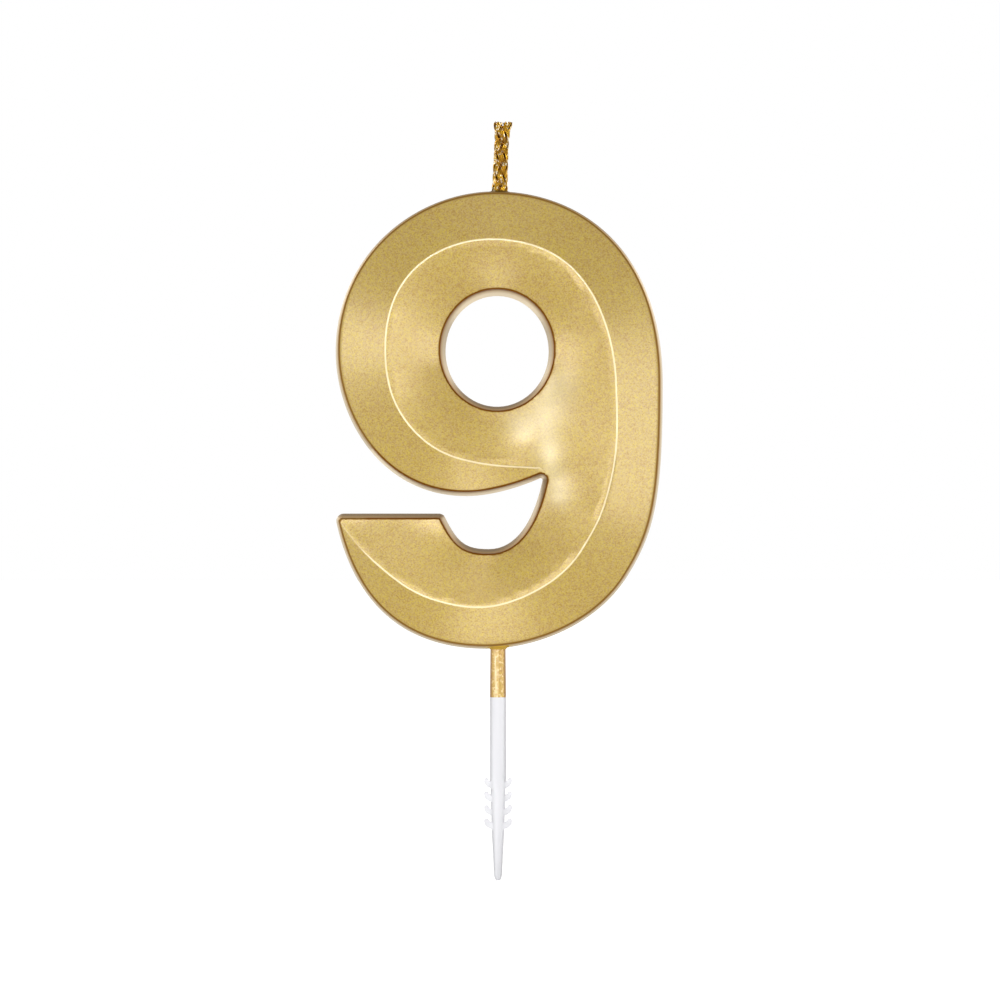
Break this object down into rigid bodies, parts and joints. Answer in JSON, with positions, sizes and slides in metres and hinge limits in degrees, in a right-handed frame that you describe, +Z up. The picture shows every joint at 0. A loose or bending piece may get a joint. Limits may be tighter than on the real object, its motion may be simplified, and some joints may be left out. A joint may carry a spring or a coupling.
{
  "type": "number candle",
  "caption": "Gold cast wax birthday candle in the shape of the numeral nine, with a chiselled front, a plaited wick and a barbed pick that pushes into a cake.",
  "frame": {"origin": "on the pick's axis at the height where the gold paint ends, which is the surface of the cake", "axes": "+Z up along the pick and the wick, the chiselled front faces -Y, +X to the right seen from the front"},
  "size_m": [0.0503, 0.0123, 0.116],
  "materials": {
    "gold_wax": "pearl gold paint over cast wax",
    "wick_cotton": "plaited cotton, waxed and brushed with gold",
    "pick_plastic": "satin moulded white plastic"
  },
  "bodies": {
    "root": {"wax_body": "gold_wax", "wick": "wick_cotton", "pick": "pick_plastic"}
  },
  "joints": []
}
